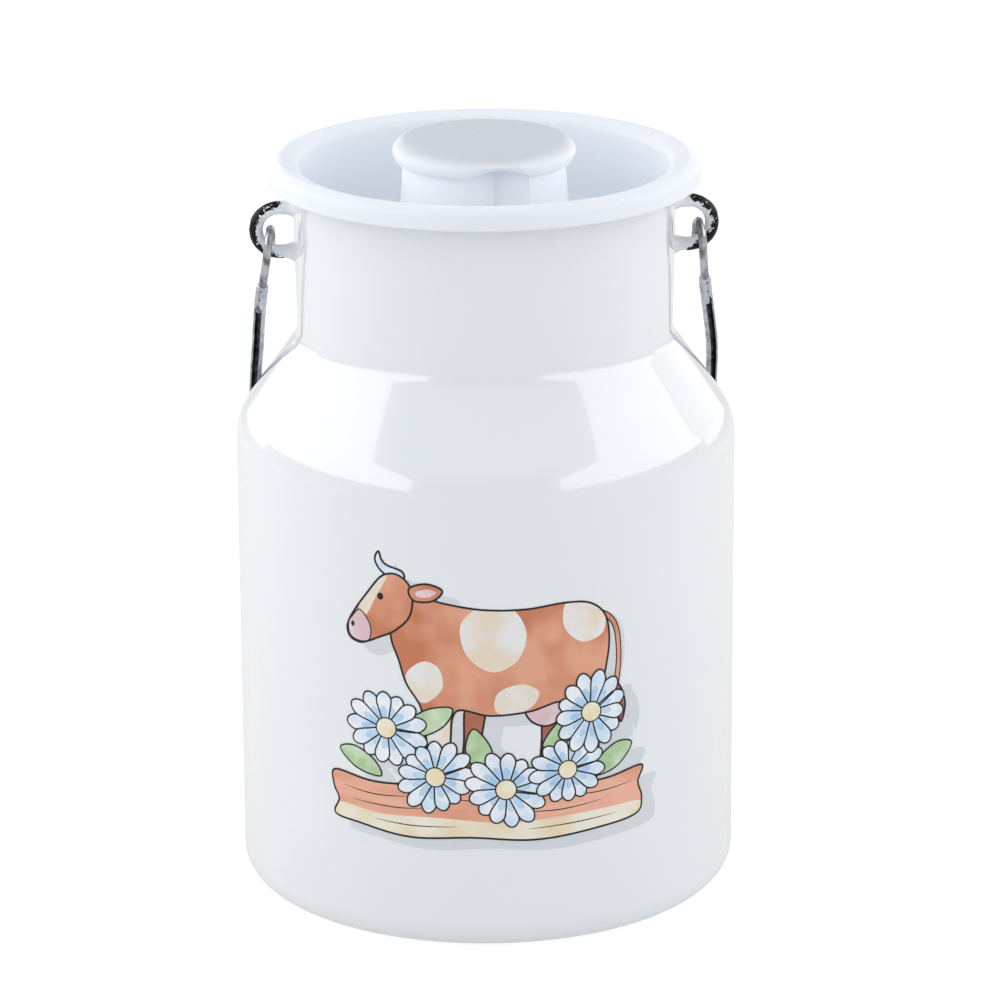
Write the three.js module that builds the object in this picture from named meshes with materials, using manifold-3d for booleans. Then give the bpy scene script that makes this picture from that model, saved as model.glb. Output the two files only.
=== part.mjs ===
// Two-litre enamelled milk can: a drawn steel can with wire ears, a swinging sheet-metal bail on
// wire hooks, and a plug lid with a separate grip knob.
// Millimetres, +Z up. The origin is the centre of the base, on the surface that the can stands on.
// The ears are on +X and -X; the bail rests against the back of the can, on the +Y side.

import * as THREE from 'three';
import { mergeVertices } from 'three/addons/utils/BufferGeometryUtils.js';
import Module from 'manifold-3d';

const wasm = await Module();
wasm.setup();

// ---- driving dimensions ----

const GAP = 0.3; // clearance kept between pieces that touch in the real can
const ROUND = 40; // facets round every turned piece

const BODY_RADIUS = 65;
const WALL = 1; // enamelled sheet steel
const BASE_CORNER_RADIUS = 7.7;
const WELD_HEIGHT = 116; // where the drawn cup meets the shoulder
const KNEE_HEIGHT = 124.9; // corner point of wall and shoulder cone
const KNEE_RADIUS = 15.1;
const CREASE_HEIGHT = 147.9; // corner point of shoulder cone and neck
const CREASE_RADIUS = 6;
const NECK_RADIUS = 48.7; // at the crease
const MOUTH_RADIUS = 49.5; // at the mouth
const CURL_RADIUS = 1.45; // rolled edge of the mouth
const CURL_HEIGHT = 190.2;

const RIM_RADIUS = 55.84; // widest circle of the lid
const RIM_BOTTOM = 188.1;
const RIM_TOP = 194.2;
const RECESS_RADIUS = 47.75; // at the rim's inner edge
const RECESS_EDGE_HEIGHT = 192.55;
const FLOOR_RADIUS = 44.6;
const FLOOR_HEIGHT = 172.8;
const PLASTIC = 1.5; // wall of the lid

const CAP_RADIUS = 23.4; // widest circle of the knob
const CAP_BOTTOM = 192.8;
const CAP_WIDEST = 195.8;
const CAP_TOP = 199.4;
const STEM_RADIUS = 20.9; // under the cap
const STEM_FOOT_RADIUS = 22.2; // on the lid floor
const NOTCH_RADIUS = 8.6; // finger notches in the front and back of the stem
const NOTCH_DEPTH = 5.2;
const NOTCH_TURN = 7; // degrees that the notches are turned from the front
const SPIGOT_RADIUS = 17; // round end of the knob, snapped through the lid floor

const EAR_WIRE_RADIUS = 1.8;
const EAR_LOW = 169.6; // centre line of the ear's lower arm
const EAR_HIGH = 181.2; // centre line of its upper arm
const EAR_BEND_X = 53.1; // where the arms run into the round bend

const HOOK_WIRE_RADIUS = 1.1;
const HOOK_OFFSET = 3.7; // shank and bow in front of the hinge line, when the bail hangs
const HOOK_TAIL_OFFSET = 3.4;
const HOOK_TAIL_LENGTH = 5.5;
const HOOK_CROWN = 2.6; // centre of the hook's round end above the hinge line
const PIVOT_HEIGHT = 170.2;

const BOW_TOP_X = 57.5; // where the bow takes over from the hook
const BOW_START = 11; // below the hinge line, when the bail hangs
const BOW_BEND = 60; // where the legs run into the half circle
const BOW_RADIUS = 60.8;
const BOW_SECTION = 1.7; // outer radius of the rolled strip
const STRIP = 0.4; // sheet of the rolled strip
const SEAM_HALF_ANGLE = 25; // degrees, half of the open seam along the rolled strip
const BAIL_LEAN = 35.6; // degrees that the resting bail lies behind straight down

// ---- materials ----

function finish(color, roughness, metalness) {
  return new THREE.MeshStandardMaterial({ color, roughness, metalness });
}

const enamel = () => finish(0xf4f5f7, 0.12, 0);
const lidPlastic = () => finish(0xeaf0f6, 0.4, 0);
const steel = () => finish(0xb9bcc0, 0.28, 1);

// ---- shape helpers ----

// One corner of an outline, rounded to the given radius, as points from one tangent to the other.
function roundedCorner(before, corner, after, radius, steps) {
  const toBefore = before.clone().sub(corner).normalize();
  const toAfter = after.clone().sub(corner).normalize();
  const halfAngle = Math.acos(toBefore.dot(toAfter)) / 2;
  const middle = toBefore.clone().add(toAfter).normalize();
  const centre = corner.clone().addScaledVector(middle, radius / Math.sin(halfAngle));
  const start = corner.clone().addScaledVector(toBefore, radius / Math.tan(halfAngle)).sub(centre);
  const end = corner.clone().addScaledVector(toAfter, radius / Math.tan(halfAngle)).sub(centre);
  const turn = Math.atan2(start.cross(end), start.dot(end));
  const points = [];
  for (let i = 0; i <= steps; i += 1) {
    points.push(start.clone().rotateAround(new THREE.Vector2(), (turn * i) / steps).add(centre));
  }
  return points;
}

// Corners are [radius, height] or [radius, height, fillet, steps].
function outline(corners) {
  const at = (i) => new THREE.Vector2(corners[i][0], corners[i][1]);
  return corners.flatMap(([, , fillet, steps], i) => {
    if (!fillet) {
      return [at(i)];
    }
    return roundedCorner(at(i - 1), at(i), at(i + 1), fillet, steps);
  });
}

// An arc of an outline, in degrees from +X of the profile plane.
function arc(x, y, radius, from, to, steps) {
  const points = [];
  for (let i = 0; i <= steps; i += 1) {
    const angle = THREE.MathUtils.degToRad(from + ((to - from) * i) / steps);
    points.push(new THREE.Vector2(x + radius * Math.cos(angle), y + radius * Math.sin(angle)));
  }
  return points;
}

// A turned solid about +Z. The profile runs up the outside, from axis to axis or closed on itself.
function turned(profile) {
  const geometry = new THREE.LatheGeometry(profile, ROUND);
  geometry.rotateX(Math.PI / 2);
  return geometry;
}

function ring(profile) {
  return turned([...profile, profile[0].clone()]);
}

function toSolid(geometry) {
  const bare = geometry.clone();
  bare.deleteAttribute('normal');
  bare.deleteAttribute('uv');
  const merged = mergeVertices(bare, 1e-4);
  const vertProperties = new Float32Array(merged.attributes.position.array);
  const triVerts = new Uint32Array(merged.index.array);
  return new wasm.Manifold(new wasm.Mesh({ numProp: 3, vertProperties, triVerts }));
}

function toGeometry(solid) {
  const mesh = solid.getMesh();
  const geometry = new THREE.BufferGeometry();
  geometry.setAttribute('position', new THREE.BufferAttribute(mesh.vertProperties, 3));
  geometry.setIndex(new THREE.BufferAttribute(mesh.triVerts, 1));
  geometry.computeVertexNormals();
  return geometry;
}

function polygon(radius, sides) {
  return new THREE.Shape(arc(0, 0, radius, 0, 360 - 360 / sides, sides - 1));
}

function rod(path, radius, sides, steps) {
  const options = { steps, bevelEnabled: false, extrudePath: path };
  return new THREE.ExtrudeGeometry(polygon(radius, sides), options);
}

function named(name, geometry, material) {
  const mesh = new THREE.Mesh(geometry, material);
  mesh.name = name;
  return mesh;
}

// ---- can ----

const coneSlope = (BODY_RADIUS - NECK_RADIUS) / (CREASE_HEIGHT - KNEE_HEIGHT);
const inwardOnCone = WALL * Math.sqrt(1 + coneSlope ** 2);

function drawnCup() {
  const inner = BODY_RADIUS - WALL;
  const top = WELD_HEIGHT - GAP / 2;
  return turned(outline([
    [0, 0],
    [BODY_RADIUS, 0, BASE_CORNER_RADIUS, 6],
    [BODY_RADIUS, top],
    [inner, top],
    [inner, WALL, BASE_CORNER_RADIUS - WALL, 6],
    [0, WALL],
  ]));
}

// The shoulder, the neck and the rolled mouth are one spun piece.
function shoulderAndNeck() {
  const bottom = WELD_HEIGHT + GAP / 2;
  const inner = BODY_RADIUS - WALL;
  const kneeDrop = (inwardOnCone - WALL) / coneSlope;
  const curlX = MOUTH_RADIUS - WALL + CURL_RADIUS;
  const outside = outline([
    [BODY_RADIUS, bottom],
    [BODY_RADIUS, KNEE_HEIGHT, KNEE_RADIUS, 7],
    [NECK_RADIUS, CREASE_HEIGHT, CREASE_RADIUS, 5],
    [MOUTH_RADIUS, CURL_HEIGHT - CURL_RADIUS],
  ]);
  const curl = arc(curlX, CURL_HEIGHT, CURL_RADIUS, -50, 180, 9);
  const inside = outline([
    [MOUTH_RADIUS - WALL, CURL_HEIGHT - CURL_RADIUS],
    [NECK_RADIUS - WALL, CREASE_HEIGHT - kneeDrop, CREASE_RADIUS + WALL, 5],
    [inner, KNEE_HEIGHT - kneeDrop, KNEE_RADIUS - WALL, 7],
    [inner, bottom],
  ]);
  return ring([...outside, ...curl, ...inside]);
}

// ---- ears ----

// A D-shaped wire ring in the XZ plane, both ends butting on the neck.
class EarCurve extends THREE.Curve {
  constructor(side) {
    super();
    this.side = side;
    this.bend = (EAR_HIGH - EAR_LOW) / 2;
    this.foot = MOUTH_RADIUS + GAP;
    this.arm = EAR_BEND_X - this.foot;
    this.length = 2 * this.arm + Math.PI * this.bend;
  }

  getPoint(t, target = new THREE.Vector3()) {
    const along = t * this.length;
    const left = this.length - along;
    if (along < this.arm) {
      return target.set(this.side * (this.foot + along), 0, EAR_LOW);
    }
    if (left < this.arm) {
      return target.set(this.side * (this.foot + left), 0, EAR_HIGH);
    }
    const angle = (along - this.arm) / this.bend - Math.PI / 2;
    const x = EAR_BEND_X + this.bend * Math.cos(angle);
    return target.set(this.side * x, 0, EAR_LOW + this.bend * (1 + Math.sin(angle)));
  }
}

function ear(side) {
  return rod(new EarCurve(side), EAR_WIRE_RADIUS, 10, 20);
}

// ---- bail, modelled hanging straight down from its hinge line ----

function bowLegX(depth) {
  const t = (depth - BOW_START) / (BOW_BEND - BOW_START);
  return BOW_TOP_X + (BOW_RADIUS - BOW_TOP_X) * Math.sin((Math.PI / 2) * t);
}

// Down the left leg, round the half circle and up the right leg.
class BowCurve extends THREE.Curve {
  constructor() {
    super();
    this.leg = BOW_BEND - BOW_START;
    this.length = 2 * this.leg + Math.PI * BOW_RADIUS;
  }

  getPoint(t, target = new THREE.Vector3()) {
    const side = t < 0.5 ? -1 : 1;
    const along = Math.min(t, 1 - t) * this.length;
    if (along < this.leg) {
      const depth = BOW_START + along;
      return target.set(side * bowLegX(depth), -HOOK_OFFSET, -depth);
    }
    const angle = (along - this.leg) / BOW_RADIUS;
    const depth = BOW_BEND + BOW_RADIUS * Math.sin(angle);
    return target.set(side * BOW_RADIUS * Math.cos(angle), -HOOK_OFFSET, -depth);
  }
}

// Sheet strip rolled to a tube round the bow, its edges left apart along the front.
function rolledBow() {
  const from = SEAM_HALF_ANGLE;
  const to = 360 - SEAM_HALF_ANGLE;
  const outside = arc(0, 0, BOW_SECTION, from, to, 9);
  const inside = arc(0, 0, BOW_SECTION - STRIP, to, from, 9);
  const section = new THREE.Shape([...outside, ...inside]);
  const options = { steps: 44, bevelEnabled: false, extrudePath: new BowCurve() };
  return new THREE.ExtrudeGeometry(section, options);
}

// Bent wire: its shank is crimped in the end of the bow, its round end goes through the ear and
// its short tail stays behind.
function hook(side) {
  const shankEnd = BOW_START + 9;
  const crownX = 55.4;
  const tailX = 55;
  const crown = HOOK_CROWN;
  const width = HOOK_OFFSET;
  const tail = HOOK_TAIL_OFFSET;
  const point = (x, y, z) => new THREE.Vector3(side * x, y, z);
  const path = new THREE.CatmullRomCurve3([
    point(bowLegX(shankEnd), -width, -shankEnd),
    point(bowLegX(BOW_START), -width, -BOW_START),
    point(crownX + 1.6, -width, -6),
    point(crownX + 1, -width, 0),
    point(crownX + 0.8, -width, crown),
    point(crownX + 0.5, -width * 0.72, crown + 2.6),
    point(crownX, 0, crown + 3.6),
    point(crownX - 0.2, tail * 0.72, crown + 2.6),
    point(tailX, tail, crown),
    point(tailX, tail, 0),
    point(tailX, tail, -HOOK_TAIL_LENGTH),
  ]);
  return rod(path, HOOK_WIRE_RADIUS, 8, 34);
}

function bail() {
  const group = new THREE.Group();
  group.position.z = PIVOT_HEIGHT;
  group.rotation.x = THREE.MathUtils.degToRad(BAIL_LEAN);
  group.add(
    named('bail_bow', rolledBow(), steel()),
    named('bail_hook_left', hook(-1), steel()),
    named('bail_hook_right', hook(1), steel()),
  );
  return group;
}

// ---- lid ----

function lidDish() {
  const plugTop = RECESS_RADIUS + 0.25;
  const hole = SPIGOT_RADIUS + GAP;
  return ring(outline([
    [hole, FLOOR_HEIGHT - PLASTIC],
    [FLOOR_RADIUS + PLASTIC, FLOOR_HEIGHT - PLASTIC, 1.2, 3],
    [plugTop, RIM_BOTTOM],
    [plugTop + 0.3, CURL_HEIGHT + CURL_RADIUS + GAP, 0.6, 2],
    [RIM_RADIUS - PLASTIC - 1.8, CURL_HEIGHT + CURL_RADIUS + GAP, 1, 3],
    [RIM_RADIUS - PLASTIC, RIM_BOTTOM],
    [RIM_RADIUS, RIM_BOTTOM],
    [RIM_RADIUS - 0.4, RIM_TOP - 1.2, 2.4, 5],
    [RIM_RADIUS - 3.2, RIM_TOP + 0.1, 3, 4],
    [RECESS_RADIUS, RECESS_EDGE_HEIGHT, 0.8, 3],
    [FLOOR_RADIUS, FLOOR_HEIGHT, 1.6, 4],
    [hole, FLOOR_HEIGHT],
  ]));
}

function lidKnob() {
  const underside = FLOOR_HEIGHT - PLASTIC - 2.5;
  const bore = SPIGOT_RADIUS - 2.2;
  const shell = turned(outline([
    [0, CAP_TOP - 3.2],
    [bore, CAP_TOP - 3.2, 3, 3],
    [bore, underside],
    [SPIGOT_RADIUS, underside],
    [SPIGOT_RADIUS, FLOOR_HEIGHT + GAP],
    [STEM_FOOT_RADIUS, FLOOR_HEIGHT + GAP],
    [STEM_RADIUS, CAP_BOTTOM],
    [CAP_RADIUS - 0.6, CAP_BOTTOM, 0.8, 2],
    [CAP_RADIUS + 0.5, CAP_WIDEST, 2.2, 4],
    [CAP_RADIUS - 1.4, CAP_TOP - 0.6, 2.6, 4],
    [0, CAP_TOP],
  ]));
  let solid = toSolid(shell);
  const notchHeight = CAP_BOTTOM - FLOOR_HEIGHT - GAP;
  const notchAxis = (STEM_RADIUS + STEM_FOOT_RADIUS) / 2 + NOTCH_RADIUS - NOTCH_DEPTH;
  for (const facing of [-90, 90]) {
    const angle = THREE.MathUtils.degToRad(facing + NOTCH_TURN);
    const cutter = new THREE.CylinderGeometry(NOTCH_RADIUS, NOTCH_RADIUS, notchHeight, 28);
    cutter.rotateX(Math.PI / 2);
    cutter.translate(
      notchAxis * Math.cos(angle),
      notchAxis * Math.sin(angle),
      FLOOR_HEIGHT + GAP + notchHeight / 2,
    );
    solid = solid.subtract(toSolid(cutter));
  }
  return toGeometry(solid);
}

// ---- assembly ----

const milkCan = new THREE.Group();
milkCan.add(
  named('lower_body', drawnCup(), enamel()),
  named('shoulder_neck', shoulderAndNeck(), enamel()),
  named('ear_left', ear(-1), enamel()),
  named('ear_right', ear(1), enamel()),
  bail(),
  named('lid_dish', lidDish(), lidPlastic()),
  named('lid_knob', lidKnob(), lidPlastic()),
);

export default milkCan;
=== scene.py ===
"""Enamelled two-litre milk can: wire ears, a swinging rolled-strip bail and a plastic plug lid.

Blender works in metres, +Z up. Sizes are written here in millimetres, and multiplied by MM where
a vertex is made. The ears are on +X and -X, the printed front faces -Y, and the bail rests behind
the can, on +Y. Colours are linear RGB.
"""

import math

import bmesh
import bpy
from mathutils import Matrix, Vector, noise


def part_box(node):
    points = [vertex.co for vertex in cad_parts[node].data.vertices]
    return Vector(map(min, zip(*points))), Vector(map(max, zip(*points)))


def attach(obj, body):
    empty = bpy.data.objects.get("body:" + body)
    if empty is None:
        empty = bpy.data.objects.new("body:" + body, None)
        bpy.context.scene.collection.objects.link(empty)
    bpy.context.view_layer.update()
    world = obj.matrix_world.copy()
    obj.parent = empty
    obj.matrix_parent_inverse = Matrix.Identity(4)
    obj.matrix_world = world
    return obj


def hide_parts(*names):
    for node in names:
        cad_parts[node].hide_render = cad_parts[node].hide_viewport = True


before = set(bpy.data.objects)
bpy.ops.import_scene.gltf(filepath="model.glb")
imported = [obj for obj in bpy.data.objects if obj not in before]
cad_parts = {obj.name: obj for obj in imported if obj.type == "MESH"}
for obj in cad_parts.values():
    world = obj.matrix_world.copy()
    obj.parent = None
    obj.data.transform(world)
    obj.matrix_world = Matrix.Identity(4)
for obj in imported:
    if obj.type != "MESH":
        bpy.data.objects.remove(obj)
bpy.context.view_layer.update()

MM = 0.001
ON_AXIS = 1e-6  # a profile point with a smaller radius is the end of a turned body
FRONT_TURN = math.radians(-3)  # print, camera and lights are turned this far from -Y


# ---- places taken from the CAD ----

body_low, body_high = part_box("lower_body")
neck_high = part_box("shoulder_neck")[1]
ear_low, ear_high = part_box("ear_right")
dish_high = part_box("lid_dish")[1]
knob_low, knob_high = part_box("lid_knob")


# ---- mesh helpers ----


def add_piece(name, mesh, body, replaced):
    """An object that rides on a body, stands for CAD nodes and takes its finish from a slot."""
    piece = bpy.data.objects.new(name, mesh)
    bpy.context.scene.collection.objects.link(piece)
    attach(piece, body)
    if replaced:
        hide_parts(*replaced)
    return piece


def new_piece(name, verts, faces, materials, body, replaced, sharp=None):
    """A closed, smooth piece. sharp is the angle in degrees from which an edge is hard."""
    mesh = bpy.data.meshes.new(name)
    mesh.from_pydata([tuple(v) for v in verts], [], faces)
    bm = bmesh.new()
    bm.from_mesh(mesh)
    bmesh.ops.recalc_face_normals(bm, faces=bm.faces)
    bm.to_mesh(mesh)
    bm.free()
    for polygon in mesh.polygons:
        polygon.use_smooth = True
    if sharp is not None:
        mesh.set_sharp_from_angle(angle=math.radians(sharp))
    for material in materials:
        mesh.materials.append(material)
    return add_piece(name, mesh, body, replaced)


def point_values(piece, name, values):
    """Stores a number at every vertex, for a material to read."""
    attribute = piece.data.attributes.new(name, "FLOAT", "POINT")
    attribute.data.foreach_set("value", values)


def limited(share):
    """The share, kept from 0 to 1."""
    return min(max(share, 0), 1)


def eased(t):
    """0 to 1, with a soft start and end."""
    return t * t * (3 - 2 * t)


def rounded_corner(before, corner, after, radius, steps):
    """Points along a fillet in the corner between two straight lines."""
    to_before = (before - corner).normalized()
    to_after = (after - corner).normalized()
    half = to_before.angle(to_after) / 2
    centre = corner + (to_before + to_after).normalized() * (radius / math.sin(half))
    start = corner + to_before * (radius / math.tan(half)) - centre
    end = corner + to_after * (radius / math.tan(half)) - centre
    turn = math.atan2(start.x * end.y - start.y * end.x, start.dot(end))
    points = []
    for i in range(steps + 1):
        c, s = math.cos(turn * i / steps), math.sin(turn * i / steps)
        points.append(centre + Vector((start.x * c - start.y * s, start.x * s + start.y * c)))
    return points


def outline(corners):
    """Profile from (radius, height) or (radius, height, fillet) corners."""
    at = [Vector((c[0], c[1])) for c in corners]
    points = []
    for i, c in enumerate(corners):
        if len(c) == 2:
            points.append(at[i])
        else:
            steps = max(6, int(c[2] * 1.2) + 4)
            points += rounded_corner(at[i - 1], at[i], at[(i + 1) % len(at)], c[2], steps)
    return points


def subdivided(points, longest, closed=False):
    """The same profile with no edge longer than the given length."""
    result = []
    ends = points[1:] + points[:1] if closed else points[1:]
    for a, b in zip(points, ends):
        pieces = max(1, math.ceil((b - a).length / longest))
        result += [a.lerp(b, i / pieces) for i in range(pieces)]
    return result if closed else result + [points[-1]]


def turned(profile, segments, closed=False, shape=None):
    """Vertices and faces of a turned body, in metres. shape(r, z, angle) may move a point."""
    verts, rings = [], []
    for p in profile:
        if p.x < ON_AXIS:
            rings.append([len(verts)])
            verts.append(Vector((0, 0, p.y * MM)))
            continue
        rings.append(list(range(len(verts), len(verts) + segments)))
        for i in range(segments):
            angle = 2 * math.pi * i / segments
            r, z = shape(p.x, p.y, angle) if shape else (p.x, p.y)
            verts.append(Vector((r * math.cos(angle), r * math.sin(angle), z)) * MM)
    faces = []
    for a, b in zip(rings, rings[1:] + rings[:1] if closed else rings[1:]):
        for i in range(segments):
            j = (i + 1) % segments
            if len(a) == 1:
                faces.append((a[0], b[j], b[i]))
            elif len(b) == 1:
                faces.append((a[i], a[j], b[0]))
            else:
                faces.append((a[i], a[j], b[j], b[i]))
    return verts, faces


def catmull_rom(points, per_span, closed=False):
    """A smooth curve through the points."""
    n = len(points)
    spans = n if closed else n - 1
    result = []
    for i in range(spans):
        if closed:
            p0, p1, p2, p3 = (points[(i + k) % n] for k in (-1, 0, 1, 2))
        else:
            p0, p1 = points[max(i - 1, 0)], points[i]
            p2, p3 = points[i + 1], points[min(i + 2, n - 1)]
        for k in range(per_span):
            t = k / per_span
            a = 2 * p1
            b = (p2 - p0) * t
            c = (2 * p0 - 5 * p1 + 4 * p2 - p3) * t**2
            d = (3 * p1 - p0 - 3 * p2 + p3) * t**3
            result.append((a + b + c + d) / 2)
    return result if closed else result + [points[-1]]


def resampled(points, spacing):
    """Points at even steps along a path, and the path's length."""
    lengths = [0.0]
    for a, b in zip(points, points[1:]):
        lengths.append(lengths[-1] + (b - a).length)
    count = max(2, round(lengths[-1] / spacing))
    result, k = [], 0
    for i in range(count + 1):
        want = lengths[-1] * i / count
        while k < len(points) - 2 and lengths[k + 1] < want:
            k += 1
        span = lengths[k + 1] - lengths[k] or 1
        result.append(points[k].lerp(points[k + 1], (want - lengths[k]) / span))
    return result, lengths[-1]


def frames_along(path, up):
    """Tangent, side and up at every point, turning as little as possible."""
    frames = []
    for i, _ in enumerate(path):
        tangent = (path[min(i + 1, len(path) - 1)] - path[max(i - 1, 0)]).normalized()
        up = (up - tangent * up.dot(tangent)).normalized()
        frames.append((tangent, tangent.cross(up), up))
    return frames


def swept_rod(path, radius_at, up, sides, domed):
    """A round rod along a path, with domed or flat ends. radius_at(i, angle) is its radius."""
    frames = frames_along(path, up)
    verts, rings = [], []

    def ring(centre, i, scale):
        _, side, top = frames[i]
        rings.append(list(range(len(verts), len(verts) + sides)))
        for k in range(sides):
            angle = 2 * math.pi * k / sides
            radius = radius_at(i, angle) * scale
            verts.append(centre + (side * math.cos(angle) + top * math.sin(angle)) * radius)

    last = len(path) - 1
    dome = [math.radians(a) for a in (75, 55, 35, 15)]
    if domed:
        for a in dome:
            ring(path[0] - frames[0][0] * radius_at(0, 0) * math.sin(a), 0, math.cos(a))
    for i, point in enumerate(path):
        ring(point, i, 1)
    if domed:
        for a in reversed(dome):
            end = path[last] + frames[last][0] * radius_at(last, 0) * math.sin(a)
            ring(end, last, math.cos(a))
    faces = []
    for a, b in zip(rings, rings[1:]):
        for k in range(sides):
            j = (k + 1) % sides
            faces.append((a[k], a[j], b[j], b[k]))
    faces.append(tuple(rings[0]))
    faces.append(tuple(reversed(rings[-1])))
    return verts, faces


# ---- materials ----


def new_material(name):
    material = bpy.data.materials.new(name)
    material.use_nodes = True
    nodes = material.node_tree.nodes
    shader = nodes["Principled BSDF"]
    return material, nodes, material.node_tree.links, shader


def set_values(shader, values):
    for socket, value in values.items():
        shader.inputs[socket].default_value = value


def noise_node(nodes, links, scale, detail, roughness, stretch=None):
    """Noise in the object's own space. stretch scales that space along each axis."""
    place = nodes.new("ShaderNodeTexCoord")
    texture = nodes.new("ShaderNodeTexNoise")
    texture.inputs["Scale"].default_value = scale
    texture.inputs["Detail"].default_value = detail
    texture.inputs["Roughness"].default_value = roughness
    if stretch:
        mapping = nodes.new("ShaderNodeMapping")
        mapping.inputs["Scale"].default_value = stretch
        links.new(place.outputs["Object"], mapping.inputs["Vector"])
        links.new(mapping.outputs["Vector"], texture.inputs["Vector"])
    else:
        links.new(place.outputs["Object"], texture.inputs["Vector"])
    return texture.outputs["Fac"]


def ramp_node(nodes, links, factor, stops):
    """Colour by a factor, from (factor, colour) stops."""
    ramp = nodes.new("ShaderNodeValToRGB")
    elements = ramp.color_ramp.elements
    while len(elements) < len(stops):
        elements.new(0.5)
    for element, (position, colour) in zip(elements, stops):
        element.position = position
        element.color = (*colour, 1)
    links.new(factor, ramp.inputs["Fac"])
    return ramp.outputs["Color"]


def range_node(nodes, links, factor, low, high):
    """Spreads a factor of 0 to 1 from low to high."""
    node = nodes.new("ShaderNodeMapRange")
    node.inputs["To Min"].default_value = low
    node.inputs["To Max"].default_value = high
    links.new(factor, node.inputs["Value"])
    return node.outputs["Result"]


def math_node(nodes, links, operation, *values):
    """One step of arithmetic on sockets and plain numbers."""
    node = nodes.new("ShaderNodeMath")
    node.operation = operation
    for socket, value in zip(node.inputs, values):
        if isinstance(value, float):
            socket.default_value = value
        else:
            links.new(value, socket)
    return node.outputs["Value"]


def attribute_node(nodes, name):
    node = nodes.new("ShaderNodeAttribute")
    node.attribute_name = name
    return node.outputs["Fac"]


def bump_node(nodes, links, height, strength, distance):
    bump = nodes.new("ShaderNodeBump")
    bump.inputs["Strength"].default_value = strength
    bump.inputs["Distance"].default_value = distance
    links.new(height, bump.inputs["Height"])
    return bump.outputs["Normal"]


ENAMEL_WHITE = (0.787, 0.815, 0.840)
ENAMEL_SHADE = (0.767, 0.799, 0.824)
EAR_WHITE = (0.82, 0.862, 0.895)
CHIP_EDGE = (0.22, 0.25, 0.29)
GROUND_COAT = (0.002, 0.002, 0.003)
NONE, ALL = (0, 0, 0), (1, 1, 1)


def glass_coat(shader, roughness, level, coat):
    """Glass over a colour: a soft reflection of its own, and a sharp coat."""
    set_values(shader, {
        "Roughness": roughness,
        "IOR": 1.52,
        "Specular IOR Level": level,
        "Coat Weight": coat,
        "Coat Roughness": 0.025,
        "Coat IOR": 1.46,
    })


def white_enamel():
    """White cover coat, a little uneven in tone and gloss, as it flowed in the kiln."""
    material, nodes, links, shader = new_material("white_enamel")
    glass_coat(shader, 0.16, 0.5, 1.0)
    cloud = noise_node(nodes, links, 24, 4, 0.55)
    links.new(
        ramp_node(nodes, links, cloud, [(0.3, ENAMEL_SHADE), (0.7, ENAMEL_WHITE)]),
        shader.inputs["Base Color"],
    )
    flow = noise_node(nodes, links, 46, 2, 0.4, (1, 1, 0.35))
    links.new(bump_node(nodes, links, flow, 0.05, 0.0012), shader.inputs["Normal"])
    links.new(range_node(nodes, links, cloud, 0.13, 0.2), shader.inputs["Roughness"])
    return material


def ear_enamel():
    """White cover coat, thin over the outside of the bend, where the black ground coat shows."""
    material, nodes, links, shader = new_material("ear_enamel")
    glass_coat(shader, 0.2, 0.16, 0.1)
    ragged = noise_node(nodes, links, 760, 6, 0.78)
    spread = range_node(nodes, links, ragged, -0.8, 0.8)
    worn = math_node(nodes, links, "ADD", attribute_node(nodes, "bare"), spread)
    # painted highlights: small white flecks on the ground coat stand in for glints of light
    glint_speckle = noise_node(nodes, links, 1100, 3, 0.6)
    painted_glints = ramp_node(nodes, links, glint_speckle, [(0.57, NONE), (0.62, ALL)])
    bare = math_node(nodes, links, "MULTIPLY_ADD", painted_glints, -0.55, worn)
    stops = [(0.47, EAR_WHITE), (0.5, CHIP_EDGE), (0.53, GROUND_COAT)]
    links.new(ramp_node(nodes, links, bare, stops), shader.inputs["Base Color"])
    links.new(bump_node(nodes, links, ragged, 0.25, 0.0006), shader.inputs["Normal"])
    return material


def steel(name, bright, dark, roughness, scale, stretch=None):
    """Blotchy, slightly tarnished metal. roughness is that of its bright parts."""
    material, nodes, links, shader = new_material(name)
    shader.inputs["Metallic"].default_value = 1.0
    blotch = noise_node(nodes, links, scale, 4, 0.6, stretch)
    links.new(
        ramp_node(nodes, links, blotch, [(0.36, dark), (0.56, bright)]),
        shader.inputs["Base Color"],
    )
    links.new(
        range_node(nodes, links, blotch, roughness + 0.12, roughness), shader.inputs["Roughness"]
    )
    links.new(bump_node(nodes, links, blotch, 0.3, 0.0003), shader.inputs["Normal"])
    return material


def lid_plastic(name, white, shade, top_shade=None):
    """Moulded plastic. A value on the piece blends it to a greyer tone, painted shade on top."""
    material, nodes, links, shader = new_material(name)
    cloud = noise_node(nodes, links, 30, 3, 0.5)
    stops = [(0.3, shade), (0.7, white)]
    # painted shade: where the piece's value rises, the plastic blends to the greyer tone
    if top_shade:
        faint = range_node(nodes, links, cloud, 0.0, 0.2)
        cloud = math_node(nodes, links, "ADD", faint, attribute_node(nodes, "top_shade"))
        stops = [(0.06, white), (0.14, shade), (1.0, top_shade)]
    links.new(ramp_node(nodes, links, cloud, stops), shader.inputs["Base Color"])
    set_values(shader, {
        "IOR": 1.5,
        "Specular IOR Level": 0.28,
        "Subsurface Weight": 0.18,
        "Subsurface Radius": (0.6, 0.8, 1.0),
        "Subsurface Scale": 0.002,
    })
    spark = noise_node(nodes, links, 2600, 2, 0.5)
    links.new(range_node(nodes, links, spark, 0.3, 0.42), shader.inputs["Roughness"])
    links.new(bump_node(nodes, links, spark, 0.06, 0.0002), shader.inputs["Normal"])
    return material


def printed(name, light, dark, scale, stretch=None):
    """Fired print under the glaze, shaded softly from a light to a dark tone."""
    material, nodes, links, shader = new_material(name)
    glass_coat(shader, 0.16, 0.2, 0.3)
    cloud = noise_node(nodes, links, scale, 2, 0.5, stretch)
    links.new(
        ramp_node(nodes, links, cloud, [(0.36, dark), (0.62, light)]), shader.inputs["Base Color"]
    )
    return material


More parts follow.
